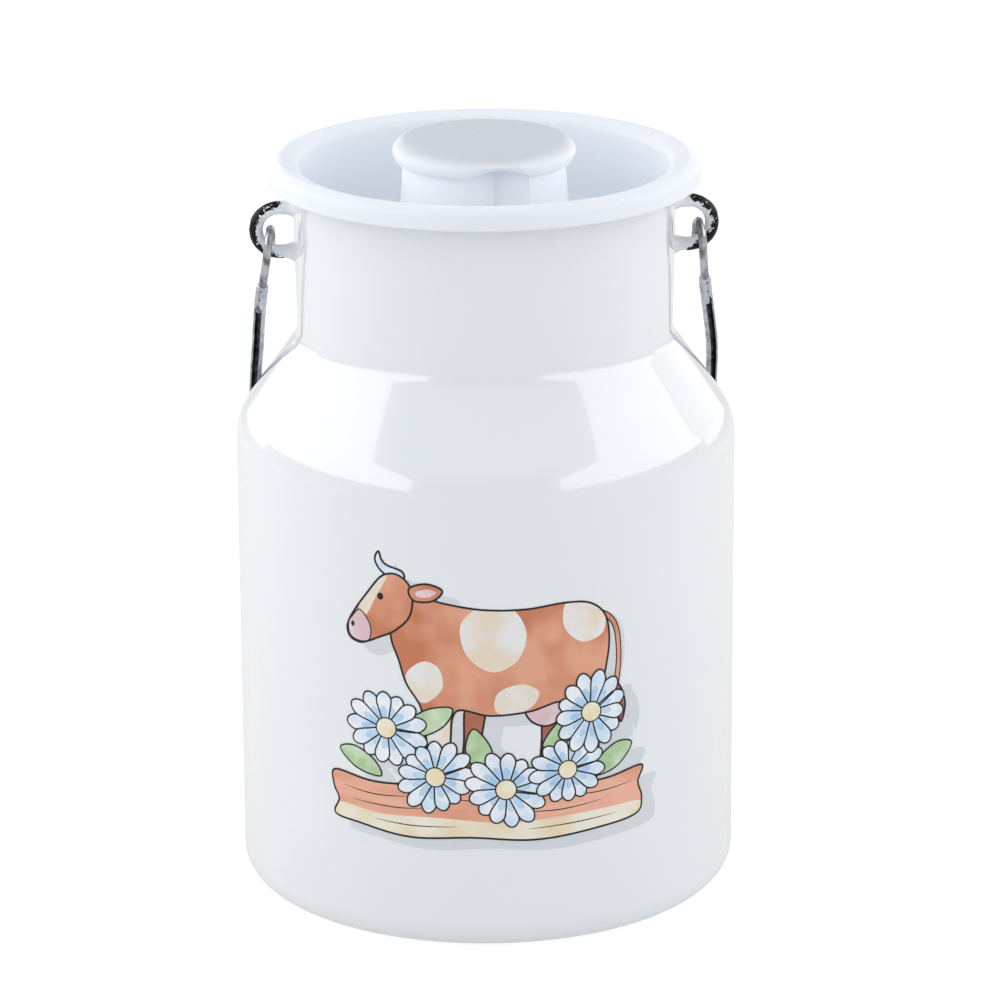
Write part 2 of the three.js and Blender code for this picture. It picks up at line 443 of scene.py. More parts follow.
can_enamel = white_enamel()
chipped_enamel = ear_enamel()
wire_steel = steel("wire_steel", (0.53, 0.53, 0.55), (0.15, 0.15, 0.165), 0.2, 300, (1, 1, 0.3))
strip_steel = steel("strip_steel", (0.55, 0.58, 0.62), (0.31, 0.325, 0.35), 0.24, 300)
# painted shade: near-black steel on the inside of the rolled strip stands in for the shade in its
# hollow
strip_inside_shade = steel("strip_inside_shade", (0.10, 0.105, 0.125), (0.008, 0.009, 0.012), 0.4, 620)
dish_plastic = lid_plastic("dish_plastic", (0.80, 0.846, 0.905), (0.78, 0.828, 0.89))
# the last colour is the greyer tone of the painted shade on the knob's top
knob_plastic = lid_plastic(
    "knob_plastic", (0.89, 0.915, 0.95), (0.87, 0.898, 0.935), (0.58, 0.617, 0.672)
)


# ---- can: one seamless enamel skin inside and out ----

WALL = 1.0
BODY = body_high.x / MM
NECK = 48.7
MOUTH = 49.5
KNEE_Z, KNEE_FILLET = 124.9, 15.1
CREASE_Z, CREASE_FILLET = 147.9, 6.0
BASE_FILLET = 7.7
FOOT_INNER, DISH_OUTER = 53.5, 51.0  # the can stands on a ring round the raised middle
BASE_RISE, RISE_FILLET = 0.8, 3
CURL_R, CURL_Z = 1.45, 190.2
CURL_START, CURL_TURN, CURL_STEPS = -50, 230, 24  # degrees round the rolled edge
MOUTH_Z = neck_high.z / MM
CAN_LONGEST = 6  # longest edge of the profile
ROUND_SIDES = 256  # of the can and the lid

slope = (BODY - NECK) / (CREASE_Z - KNEE_Z)
drop = (WALL * math.hypot(1, slope) - WALL) / slope  # of the inside's bends, for an even wall


def can_profile():
    outside = outline([
        (0, BASE_RISE),
        (DISH_OUTER, BASE_RISE, RISE_FILLET),
        (FOOT_INNER, 0, RISE_FILLET),
        (BODY, 0, BASE_FILLET),
        (BODY, KNEE_Z, KNEE_FILLET),
        (NECK, CREASE_Z, CREASE_FILLET),
        (MOUTH, MOUTH_Z - 2 * CURL_R),
    ])
    curl_x = MOUTH - WALL + CURL_R
    curl = []
    for i in range(CURL_STEPS + 1):
        a = math.radians(CURL_START + CURL_TURN * i / CURL_STEPS)
        curl.append(Vector((curl_x + CURL_R * math.cos(a), CURL_Z + CURL_R * math.sin(a))))
    inside = outline([
        (MOUTH - WALL, MOUTH_Z - 2 * CURL_R),
        (NECK - WALL, CREASE_Z - drop, CREASE_FILLET + WALL),
        (BODY - WALL, KNEE_Z - drop, KNEE_FILLET - WALL),
        (BODY - WALL, WALL, BASE_FILLET - WALL),
        (FOOT_INNER - WALL / 2, WALL, RISE_FILLET),
        (DISH_OUTER - WALL / 2, WALL + BASE_RISE, RISE_FILLET),
        (0, WALL + BASE_RISE),
    ])
    return subdivided(outside + curl + inside, CAN_LONGEST)


skin_verts, skin_faces = turned(can_profile(), ROUND_SIDES)
new_piece(
    "can_skin", skin_verts, skin_faces, [can_enamel], "can",
    ("lower_body", "shoulder_neck"),
)


# ---- ears ----

EAR_WIRE = 1.8
EAR_LOW_Z = ear_low.z / MM + EAR_WIRE
EAR_HIGH_Z = ear_high.z / MM - EAR_WIRE
EAR_BEND = (EAR_HIGH_Z - EAR_LOW_Z) / 2
EAR_BEND_X = ear_high.x / MM - EAR_WIRE - EAR_BEND
EAR_MID_Z = (EAR_LOW_Z + EAR_HIGH_Z) / 2
EAR_FOOT_X = 48.6  # the wire's flat ends, inside the wall
EAR_BEND_GAP = 0.4  # between a straight part and the bend
EAR_BEND_STEPS = 24
WELD_FLARE, WELD_LENGTH, WELD_POWER = 1.5, 3.6, 2.6  # the wire widens to its weld
EAR_LUMP, EAR_LUMP_SCALE = 0.07, 0.7
BARE_START, BARE_LENGTH = 51.3, 3.2  # where along X the ground coat begins to show
BARE_LEAN = Vector((0.1, 0.15, 0.1))  # it shows a little more on top and at the back


def bare_share(v, near, centre, side):
    """How bare an ear is at v. near is the closest point of the wire's middle."""
    facing = (v - near).normalized()
    out = (near - centre).normalized()
    along = limited((v.x - BARE_START) / BARE_LENGTH)
    away = facing.dot((out + BARE_LEAN).normalized())
    under = 0.35 if near.z < EAR_MID_Z - 2 and facing.z < -0.3 and v.x > 51.5 else 0
    # the right ear's coat is gone all round below the middle of its bend
    worn = 0.8 * max(0.0, out.x) * max(0.0, -out.z) if side > 0 else 0
    return 0.1 + (0.75 * away + 0.5 + under + worn) * along


def ear(side, name, node):
    centre = Vector((EAR_BEND_X, 0, EAR_MID_Z))
    straight_x = EAR_BEND_X - EAR_BEND_GAP
    points = [Vector((EAR_FOOT_X, 0, EAR_LOW_Z)), Vector((straight_x, 0, EAR_LOW_Z))]
    for i in range(EAR_BEND_STEPS + 1):
        a = math.radians(-90 + 180 * i / EAR_BEND_STEPS)
        points.append(centre + EAR_BEND * Vector((math.cos(a), 0, math.sin(a))))
    points += [Vector((straight_x, 0, EAR_HIGH_Z)), Vector((EAR_FOOT_X, 0, EAR_HIGH_Z))]
    path, _ = resampled(points, 0.3)

    def radius(i, angle):
        p = path[i]
        flare = max(0.0, 1 - (p.x - EAR_FOOT_X) / WELD_LENGTH)
        place = Vector((p.x, angle * 0.5, p.z)) * EAR_LUMP_SCALE
        return EAR_WIRE * (1 + noise.noise(place) * EAR_LUMP) + WELD_FLARE * flare**WELD_POWER

    verts, faces = swept_rod(path, radius, Vector((0, 1, 0)), 40, False)
    bare = []
    for v in verts:
        near = min(path, key=lambda p, v=v: (p - v).length_squared)
        bare.append(bare_share(v, near, centre, side))
    verts = [Vector((side * v.x, v.y, v.z)) * MM for v in verts]
    piece = new_piece(name, verts, faces, [chipped_enamel], "can", (node,))
    point_values(piece, "bare", bare)


ear(-1, "ear_ring_left", "ear_left")
ear(1, "ear_ring_right", "ear_right")


# ---- bail: rolled strip bow on two wire hooks, modelled hanging straight down ----

BAIL_LEAN = math.radians(35.6)  # from hanging straight down to lying on the can's back
PIVOT_Z = 170.2
HOOK_OFFSET, TAIL_OFFSET = 3.7, 3.4  # of a hook's front and free legs from the pivot
HOOK_WIRE = 1.1
BOW_TOP_X, BOW_START = 57.5, 11.0  # half width at the top of the bow, and its depth there
BOW_BEND, BOW_RADIUS = 60.0, 60.8  # depth where the legs meet the half circle, and its radius
BOW_SECTION, STRIP = 1.62, 0.4  # radius of the rolled strip and its thickness
BOW_SWAY, SWAY_LENGTH = 1.0, 30
hang = Matrix.Translation((0, 0, PIVOT_Z)) @ Matrix.Rotation(BAIL_LEAN, 4, "X")


def bow_leg_x(depth):
    t = (depth - BOW_START) / (BOW_BEND - BOW_START)
    return BOW_TOP_X + (BOW_RADIUS - BOW_TOP_X) * math.sin(math.pi / 2 * t)


def sideways(depth):
    """The bow hangs a little to the right of the hooks."""
    return BOW_SWAY * eased(limited((depth - BOW_START) / SWAY_LENGTH))


def hook(side, name, node):
    """A wire from inside the bow's end, up, over the ear's lower part and down behind it."""
    y, tail = -HOOK_OFFSET, TAIL_OFFSET
    points = [Vector(p) for p in (
        (bow_leg_x(20), y, -20), (bow_leg_x(BOW_START), y, -BOW_START), (57, y, -6),
        (56.4, y, 0), (56.2, y, 2.6), (55.9, 0.72 * y, 5.2), (55.4, 0, 6.2),
        (55.2, 0.72 * tail, 5.2), (55, tail, 2.6), (55, tail, 0), (55, tail, -4.7),
    )]
    path, _ = resampled(catmull_rom(points, 12), 0.35)
    verts, faces = swept_rod(path, lambda i, a: HOOK_WIRE, Vector((1, 0, 0)), 28, True)
    verts = [hang @ Vector((side * v.x, v.y, v.z)) * MM for v in verts]
    new_piece(name, verts, faces, [wire_steel], "bail", (node,))


hook(-1, "hook_wire_left", "bail_hook_left")
hook(1, "hook_wire_right", "bail_hook_right")

BOW_TOP = BOW_START - 0.9  # the crimped end reaches a little up the hook
LEG_STEPS, BEND_STEPS = 40, 90
SECTION_SIDES = 34
CRIMPED, OPENING_LENGTH = 6.0, 3.5  # shut round the hook, then opening to the full seam
SEAM_SHUT, SEAM_OPEN = 2, 38  # half of the seam's gap in degrees: shut, and added when open
SEAM_TURN, SEAM_FADE = math.radians(26), 45  # the legs' seam faces a little outward
END_SHARE, END_LENGTH = 0.72, 1.1  # the strip's end is narrower
STRIP_LUMP, STRIP_LUMP_SCALE = 0.035, 0.35
DENTS = (1.5, 4.9)  # distances from the end of the marks that the crimping tool left
DENT_DEPTH, DENT_LENGTH, DENT_ANGLE = 0.6, 0.7, 0.36


def bow_path():
    """Middle of the bow from its left end to its right end, and its length."""
    points = []
    for i in range(LEG_STEPS + 1):
        depth = BOW_TOP + (BOW_BEND - BOW_TOP) * i / LEG_STEPS
        points.append(Vector((-bow_leg_x(depth), -HOOK_OFFSET, -depth)))
    right_leg = [Vector((-p.x, p.y, p.z)) for p in reversed(points)]
    for i in range(1, BEND_STEPS):
        a = math.pi * i / BEND_STEPS
        x, z = -BOW_RADIUS * math.cos(a), -BOW_BEND - BOW_RADIUS * math.sin(a)
        points.append(Vector((x, -HOOK_OFFSET, z)))
    path, length = resampled(points + right_leg, 0.5)
    return [Vector((p.x + sideways(-p.z), p.y, p.z)) for p in path], length


def seam_front(point, tangent, up):
    """Direction in which the seam faces: to the front, and on the legs a little outward."""
    turn = SEAM_TURN * min(1, abs(point.x) / SEAM_FADE) * (-1 if point.x < 0 else 1)
    front = up * math.cos(turn) + Vector((1, 0, 0)) * math.sin(turn)
    return (front - tangent * front.dot(tangent)).normalized()


def strip_section(along, from_end):
    """Angle from the seam, radius outside and dent at each point of the rolled strip."""
    opening = eased(limited((from_end - CRIMPED) / OPENING_LENGTH))
    half = math.radians(SEAM_SHUT + SEAM_OPEN * opening)
    full = math.sqrt(max(0.0, 1 - max(0.0, 1 - from_end / END_LENGTH) ** 2))
    narrow = END_SHARE + (1 - END_SHARE) * full
    section = []
    for k in range(SECTION_SIDES + 1):
        a = half + (2 * math.pi - 2 * half) * k / SECTION_SIDES
        place = Vector((along * STRIP_LUMP_SCALE, math.sin(a), math.cos(a)))
        radius = BOW_SECTION * (1 + STRIP_LUMP * noise.noise(place)) * narrow
        dent = 0
        for at in DENTS:
            beside = min(a, 2 * math.pi - a) / DENT_ANGLE
            dent += DENT_DEPTH * math.exp(-((from_end - at) / DENT_LENGTH) ** 2 - beside**2)
        section.append((a, radius, dent))
    return section


def bow():
    path, length = bow_path()
    frames = frames_along(path, Vector((0, -1, 0)))
    verts, faces, inside = [], [], []
    for i, (point, (tangent, _, up)) in enumerate(zip(path, frames)):
        along = length * i / (len(path) - 1)
        front = seam_front(point, tangent, up)
        wide = tangent.cross(front)
        section = strip_section(along, min(along, length - along))
        for a, radius, dent in section:
            verts.append(point + (front * math.cos(a) + wide * math.sin(a)) * (radius - dent))
        for a, radius, _ in reversed(section):
            verts.append(point + (front * math.cos(a) + wide * math.sin(a)) * (radius - STRIP))
    per = 2 * (SECTION_SIDES + 1)
    for i in range(len(path) - 1):
        for k in range(per):
            j = (k + 1) % per
            faces.append((i * per + k, i * per + j, (i + 1) * per + j, (i + 1) * per + k))
            inside.append(SECTION_SIDES < k < per - 1)
    last = (len(path) - 1) * per
    for k in range(SECTION_SIDES):
        m = per - 1 - k
        faces.append((k, k + 1, m - 1, m))
        faces.append((last + k, last + k + 1, last + m - 1, last + m))
        inside += [False, False]
    verts = [hang @ v * MM for v in verts]
    piece = new_piece(
        "bow_strip", verts, faces, [strip_steel, strip_inside_shade], "bail",
        ("bail_bow",), 50,
    )
    # the inside faces take the near-black painted shade
    for polygon, dark in zip(piece.data.polygons, inside):
        polygon.material_index = 1 if dark else 0


bow()


# ---- lid ----

PLASTIC = 1.5
RIM = dish_high.x / MM
RIM_TOP = dish_high.z / MM
RIM_BOTTOM = 188.1
RECESS, RECESS_Z = 47.75, 192.55  # edge of the recess
FLOOR_R, FLOOR_Z = 44.6, 172.8
SPIGOT, HOLE = 17.0, 17.1  # the knob's foot in the hole in the floor
UNDER_RIM = CURL_Z + CURL_R + 0.3
DISH_LONGEST = 4


def dish_profile():
    return subdivided(outline([
        (HOLE, FLOOR_Z - PLASTIC),
        (FLOOR_R + PLASTIC, FLOOR_Z - PLASTIC, 1.2),
        (RECESS + 0.25, RIM_BOTTOM),
        (RECESS + 0.55, UNDER_RIM, 0.6),
        (RIM - PLASTIC - 1.8, UNDER_RIM, 1),
        (RIM - PLASTIC + 0.1, RIM_BOTTOM, 0.2),
        (RIM, RIM_BOTTOM, 0.5),
        (RIM - 0.4, RIM_TOP - 1.2, 2.4),
        (RIM - 3.2, RIM_TOP + 0.1, 3),
        (RECESS, RECESS_Z, 2.2),
        (FLOOR_R, FLOOR_Z, 1.6),
        (HOLE, FLOOR_Z),
    ]), DISH_LONGEST, True)


dish_verts, dish_faces = turned(dish_profile(), ROUND_SIDES, True)
new_piece(
    "lid_plug", dish_verts, dish_faces, [dish_plastic], "lid", ("lid_dish",), 50
)

CAP = 23.4
CAP_TOP = knob_high.z / MM
CAP_BOTTOM, CAP_WIDEST = 192.9, 195.9  # heights of the cap's underside and widest ring
CAP_WALL, SPIGOT_WALL = 3.2, 2.2
STEM, STEM_FOOT = 20.9, 22.2
NOTCH_HALF = math.radians(23)
NOTCH_DEPTH = 5.4
NOTCH_TURN = math.radians(7)
NOTCH_ARCH = 2.3  # how far the cap's underside rises over a notch
NOTCH_TOP = CAP_WIDEST + 1
GATE_R, GATE_HEIGHT = 1.1, 0.35  # moulding mark in the middle of the cap
# painted shade on the knob's top begins this far up
TOP_SHADE_START = CAP_WIDEST - 1.2
KNOB_LONGEST = 2.2
KNOB_SIDES = 288


def notch_share(angle):
    """0 outside the finger notches, 1 on the line where a notch is deepest."""
    share = 0.0
    for facing in (-math.pi / 2, math.pi / 2):
        off = (angle - facing - NOTCH_TURN + math.pi) % (2 * math.pi) - math.pi
        share = max(share, 1 - abs(off) / NOTCH_HALF)
    return max(0.0, share)


def knob_shape(r, z, angle):
    """Presses the finger notches into the stem, and arches the cap's underside over them."""
    share = notch_share(angle)
    if share > 0 and r > STEM - 1.2 and FLOOR_Z + 0.2 < z < NOTCH_TOP:
        arch = NOTCH_ARCH * math.sin(math.pi / 2 * min(1, share * 1.15)) ** 1.4
        if z < CAP_BOTTOM - 0.5:
            r -= NOTCH_DEPTH * share**0.9
        elif r < STEM + 0.3:
            r -= NOTCH_DEPTH * share**0.9
            z += arch
        else:
            z += arch * limited((NOTCH_TOP - z) / (NOTCH_TOP - CAP_BOTTOM))
    return r, z


def knob_profile():
    """From the middle of the hollow, out under the spigot, and up to the middle of the cap."""
    bore = SPIGOT - SPIGOT_WALL
    under = knob_low.z / MM
    body = outline([
        (0, CAP_TOP - CAP_WALL),
        (bore, CAP_TOP - CAP_WALL, 3),
        (bore, under, 0.4),
        (SPIGOT, under, 0.4),
        (SPIGOT, FLOOR_Z + 0.1),
        (STEM_FOOT + 0.5, FLOOR_Z + 0.1),
        (STEM_FOOT, FLOOR_Z + 0.9),
        (STEM, CAP_BOTTOM, 0.25),
        (CAP - 0.7, CAP_BOTTOM, 0.9),
        (CAP + 0.5, CAP_WIDEST, 2.2),
        (CAP - 1.8, CAP_TOP - 0.75, 3),
        (12, CAP_TOP - 0.08, 20),
        (GATE_R + 0.6, CAP_TOP, 0.4),
        (GATE_R * 0.7, CAP_TOP + GATE_HEIGHT, 0.3),
        (0, CAP_TOP + GATE_HEIGHT),
    ])
    return subdivided(body, KNOB_LONGEST)


def top_shade_share(v):
    """Painted shade on the cap: 0 below its edge, rising over its rounding to 1 on the flat top.
    """
    return eased(limited((v.z / MM - TOP_SHADE_START) / (CAP_TOP - TOP_SHADE_START)))


knob_verts, knob_faces = turned(knob_profile(), KNOB_SIDES, False, knob_shape)
knob = new_piece(
    "lid_grip", knob_verts, knob_faces, [knob_plastic], "lid", ("lid_knob",), 40
)
# painted shade: the knob's flat top is greyed
point_values(knob, "top_shade", [top_shade_share(v) for v in knob_verts])


# ---- printed picture on the front: a plain cow behind a rail with daisies ----

PRINT_GAP = 0.035  # between the can and the lowest layer, so that they never cross
STEP = 0.008  # thickness of one printed layer
GRID = 1.2  # widest flat strip laid round the can
LINE_STEP = 0.7 * GRID  # longest straight stretch of a drawn line
SHADOW_SHIFT = Vector((4.6, -3.0))
LINE, FINE_LINE = 0.54, 0.42
PETALS = 13

inks = {
    "shadow": printed("ink_shadow", (0.655, 0.685, 0.72), (0.63, 0.665, 0.70), 60),
    "brown": printed("ink_brown", (0.74, 0.36, 0.235), (0.56, 0.195, 0.10), 75),
    "dark_brown": printed("ink_dark_brown", (0.46, 0.17, 0.10), (0.30, 0.09, 0.05), 75),
    "cream": printed("ink_cream", (0.78, 0.78, 0.775), (0.78, 0.67, 0.54), 120),
    "pink": printed("ink_pink", (0.80, 0.68, 0.71), (0.70, 0.50, 0.54), 120),
    "petal": printed("ink_petal", (0.84, 0.87, 0.91), (0.60, 0.74, 0.88), 190),
    "petal_blue": printed("ink_petal_blue", (0.52, 0.69, 0.86), (0.38, 0.58, 0.80), 190),
    "heart": printed("ink_heart", (0.84, 0.80, 0.66), (0.82, 0.68, 0.44), 240),
    "leaf": printed("ink_leaf", (0.60, 0.73, 0.52), (0.38, 0.55, 0.30), 160),
    "wood": printed("ink_wood", (0.82, 0.44, 0.32), (0.66, 0.28, 0.18), 60, (0.4, 0.4, 3)),
    "wood_light": printed("ink_wood_light", (0.82, 0.79, 0.68), (0.78, 0.66, 0.45), 90),
    "horn": printed("ink_horn", (0.80, 0.84, 0.88), (0.52, 0.69, 0.86), 150),
    "line": printed("ink_line", (0.012, 0.012, 0.015), (0.006, 0.006, 0.008), 150),
}


def on_can(x, z, layer):
    """A point of the picture, laid round the can. x runs to the right from the middle."""
    angle = x / BODY + FRONT_TURN
    r = BODY + PRINT_GAP + layer * STEP
    return Vector((r * math.sin(angle), -r * math.cos(angle), z)) * MM


class Print:
    """Collects flat shapes and lines, then lays them round the can as one piece."""

    def __init__(self):
        self.verts, self.faces, self.ink_of_face, self.inks = [], [], [], []

    def ink(self, name):
        """The ink's place among this piece's materials."""
        if name not in self.inks:
            self.inks.append(name)
        return self.inks.index(name)

    def fill(self, loop, ink, layer):
        """A flat shape, cut into strips that are narrow enough to follow the can's curve."""
        bm = bmesh.new()
        bm.faces.new([bm.verts.new((p.x, p.y, 0)) for p in loop])
        bmesh.ops.triangulate(bm, faces=bm.faces[:])
        low = min(p.x for p in loop)
        high = max(p.x for p in loop)
        for k in range(math.ceil(low / GRID), math.floor(high / GRID) + 1):
            geometry = bm.verts[:] + bm.edges[:] + bm.faces[:]
            bmesh.ops.bisect_plane(
                bm, geom=geometry, dist=1e-5, plane_co=(k * GRID, 0, 0), plane_no=(1, 0, 0)
            )
        bm.verts.index_update()
        first = len(self.verts)
        self.verts += [on_can(v.co.x, v.co.y, layer) for v in bm.verts]
        for face in bm.faces:
            self.faces.append([first + v.index for v in face.verts])
            self.ink_of_face.append(self.ink(ink))
        bm.free()

    def line(self, points, layer, width=LINE, closed=True, ink="line", taper=False):
        """A drawn line. taper thins it towards both ends."""
        points = subdivided(points, LINE_STEP, closed)
        n = len(points)
        first = len(self.verts)
        for i, p in enumerate(points):
            a = points[(i - 1) % n] if closed else points[max(i - 1, 0)]
            b = points[(i + 1) % n] if closed else points[min(i + 1, n - 1)]
            along = (b - a).normalized()
            half = width / 2
            if taper:
                half *= 0.25 + 0.75 * math.sin(math.pi * min(1, (i + 0.5) / n))
            across = Vector((-along.y, along.x)) * half
            self.verts += [
                on_can(p.x + across.x, p.y + across.y, layer),
                on_can(p.x - across.x, p.y - across.y, layer),
            ]
        for i in range(n if closed else n - 1):
            j = (i + 1) % n
            a, b = first + 2 * i, first + 2 * j
            self.faces.append([a, a + 1, b + 1, b])
            self.ink_of_face.append(self.ink(ink))

    def shape(self, loop, ink, layer, width=LINE):
        """A filled shape with a dark outline."""
        self.fill(loop, ink, layer)
        self.line(loop, layer + 0.5, width)

    def lay(self, name):
        """Makes the piece, with normals that point straight out from the can."""
        mesh = bpy.data.meshes.new(name)
        mesh.from_pydata([tuple(v) for v in self.verts], [], self.faces)
        for polygon, ink in zip(mesh.polygons, self.ink_of_face):
            polygon.use_smooth = True
            polygon.material_index = ink
            out = Vector((polygon.center.x, polygon.center.y, 0))
            if polygon.normal.dot(out) < 0:
                polygon.flip()
        for ink in self.inks:
            mesh.materials.append(inks[ink])
        mesh.update()
        radial = [Vector((v.co.x, v.co.y, 0)).normalized() for v in mesh.vertices]
        mesh.normals_split_custom_set_from_vertices(radial)
        add_piece(name, mesh, "can", ())


def standing(points):
    """The cow's points, lowered a little towards the rail."""
    return tuple((x + 0.6, RAIL_TOP + 0.955 * (z - RAIL_TOP)) for x, z in points)


def loop_of(points, shift=(0, 0)):
    """A smooth closed outline."""
    return catmull_rom([Vector((x + shift[0], z + shift[1])) for x, z in points], 7, True)


def shadow_of(loop):
    return [p + SHADOW_SHIFT for p in loop]


def full_turn(steps):
    return [2 * math.pi * k / steps for k in range(steps)]


def spot(x, z, across, up):
    return [Vector((x + across * math.cos(a), z + up * math.sin(a))) for a in full_turn(16)]


def petal(centre, angle, length, width):
    """A petal's outline, widest three quarters of the way out."""
    along = Vector((math.cos(angle), math.sin(angle)))
    across = Vector((-along.y, along.x))
    spans = ((0.12, 0.12), (0.45, 0.34), (0.78, 0.5), (0.96, 0.3))
    points = [centre + along * length * a + across * width * b for a, b in spans]
    points.append(centre + along * length * 1.02)
    points += [centre + along * length * a - across * width * b for a, b in reversed(spans)]
    return catmull_rom(points, 4, True)


def daisy(picture, shadow, centre, size, turn, layer):
    """A daisy of overlapping petals, each a little longer or shorter than the next."""
    for i in range(PETALS):
        angle = turn + 2 * math.pi * i / PETALS
        reach = size * (1 + 0.10 * math.sin(5.3 * i + turn * 3))
        level = layer + i % 2
        blade = petal(centre, angle, reach, size * 0.40)
        core = petal(centre, angle + 0.05, reach * 0.62, size * 0.19)
        picture.shape(blade, "petal", level, FINE_LINE)
        picture.fill(core, "petal_blue", level + 0.25)
        shadow.fill(shadow_of(blade), "shadow", 0.02 * i)
    heart = [
        centre + size * 0.27 * Vector((math.cos(a), math.sin(a))) for a in full_turn(28)
    ]
    picture.shape(heart, "heart", layer + 2.2, 0.36)


# the picture's shapes: (distance to the right of its middle, height above the base)
RAIL_TOP = 46
COW_BODY = (
    (-18, 98.0), (-12, 96.6), (-2, 95.0), (9, 94.8), (19, 95.8), (26, 95.0), (30.4, 91.0),
    (31.6, 84), (30.6, 76), (28.8, 68), (28.6, 56), (28.2, 46), (22.8, 46), (22.4, 58),
    (19.4, 68), (10, 66.2), (0, 65.4), (-8.4, 66.6), (-10, 58), (-10.2, 46), (-15.8, 46),
    (-16.2, 58), (-17.6, 67), (-21.4, 73.5), (-23.4, 80), (-25.4, 86), (-25, 94),
)
COW_HEAD = (
    (-19.8, 99.6), (-23.2, 103.4), (-27.6, 102.8), (-31.8, 97.6), (-35.8, 91.8), (-37.6, 88.0),
    (-36.8, 84.6), (-33.2, 83.6), (-28.6, 85.6), (-24.2, 88.0), (-20.2, 92.6),
)
COW_MUZZLE = (
    (-34.0, 92.4), (-36.4, 90.2), (-38.0, 87.4), (-37.2, 84.3), (-34.0, 83.2), (-31.4, 84.6),
    (-31.2, 88.6),
)
COW_EAR = ((-20.4, 100.0), (-16.0, 101.6), (-11.8, 100.0), (-14.4, 97.0), (-19.2, 96.8))
COW_EAR_INSIDE = ((-18.6, 99.2), (-15.6, 100.2), (-13.4, 99.4), (-15.4, 98.0), (-18.2, 98.0))
COW_HORN = (
    (-25.0, 102.4), (-28.2, 104.4), (-29.6, 107.2), (-28.6, 109.4), (-27.8, 107.2),
    (-26.2, 105.8), (-22.4, 104.6), (-21.8, 102.6),
)
COW_FAR_LEGS = (
    ((-6.0, 68), (-1.2, 68), (-2.2, 58), (-2.0, 46), (-7.2, 46), (-6.6, 58)),
    ((14.0, 70), (20.0, 70), (18.4, 60), (18.2, 46), (13.0, 46), (13.2, 58)),
)
COW_UDDER = ((9.6, 67.2), (18.6, 68.4), (18.2, 63.8), (14.4, 61.8), (10.4, 63.6))
COW_PATCHES = (
    (
        (-3.6, 95.0), (1.2, 94.7), (6.2, 94.7), (9.4, 88), (7.0, 80.6), (0.6, 77.6),
        (-5.6, 82.0), (-7.4, 90),
    ),
    ((19.8, 95.9), (26, 95.0), (30.2, 91.2), (29.6, 86.0), (24.0, 84.4), (19.2, 89.0)),
    ((-15.9, 66.0), (-10.6, 66.4), (-10.3, 56), (-10.3, 46.2), (-15.7, 46.2), (-16.0, 56)),
    ((-21.6, 75.4), (-17.0, 80.0), (-12.8, 78.2), (-12.2, 72.4), (-17.4, 68.4)),
    ((2.0, 66.1), (9.6, 66.7), (12.6, 71.4), (8.0, 74.0), (2.0, 71.6)),
)
COW_BLAZE = (
    (-26.4, 102.6), (-28.4, 102.0), (-32.0, 97.2), (-34.4, 93.0), (-32.2, 91.4), (-29.6, 96.4),
)
COW_TAIL = ((27.6, 92.6), (31.6, 90.2), (33.8, 86.0), (34.4, 78.0), (33.6, 70.0), (34.0, 66.0))
COW_TUFT = (
    (33.4, 70.4), (34.8, 70.2), (36.4, 65.0), (35.2, 60.0), (33.6, 63.0), (32.4, 60.6),
    (32.0, 66.0),
)
COW_NOSTRIL, COW_EYE = (-36.2, 88.2), (-28.2, 97.0)
RAIL = (
    (-41.6, 45.8), (-30, 44.6), (-15, 45.2), (0, 44.4), (16, 45.4), (30, 44.8), (42, 46.4),
    (41.0, 42.0), (42.2, 37.6), (40.4, 33.4), (28, 31.8), (12, 30.6), (-4, 31.6), (-20, 30.8),
    (-34, 32.6), (-41.8, 33.8), (-40.6, 38.0), (-42.2, 41.6),
)
RAIL_UNDER = (
    (-40.2, 37.2), (-28, 36.2), (-12, 36.6), (4, 35.6), (20, 36.4), (41.1, 36.9), (40.3, 33.5),
    (28, 31.8), (12, 30.6), (-4, 31.6), (-20, 30.8), (-34, 32.6), (-41.8, 33.8),
)
RAIL_GRAIN = (
    ((-39, 42.2), (-30, 41.2), (-20, 41.8)), ((-12, 42.4), (-2, 41.4), (10, 42.0)),
    ((18, 42.4), (28, 41.6), (39, 42.6)), ((-36, 38.8), (-24, 38.4), (-16, 39.0)),
    ((6, 38.6), (18, 38.2), (30, 39.4)), ((-30, 34.6), (-20, 34.0), (-8, 34.4)),
    ((10, 33.6), (22, 34.2), (34, 35.0)),
)
LEAVES = (
    ((-22, 60), (-16, 65.4), (-9, 66.4), (-11, 61.6), (-17, 58.4)),
    ((14, 56), (19, 62.6), (26.4, 64.6), (24, 59.0), (18.6, 54.6)),
    ((-2, 49), (-5.6, 55), (-3.6, 61), (0.6, 56.4), (1.4, 50.6)),
    ((-40, 52), (-35, 47.6), (-28, 46.4), (-30, 50.6), (-35.6, 53.4)),
    ((39, 53), (34.4, 47.6), (27.6, 46.2), (29.6, 51.0), (34.6, 54.2)),
)
DAISIES = (  # middle, size and turn
    ((-26.4, 59.6), 10.2, 0.20), ((-13.4, 47.6), 9.6, 0.62), ((4.6, 44.6), 9.9, 0.05),
    ((20.6, 48.8), 9.2, 0.40), ((27.0, 63.6), 10.0, 0.85),
)


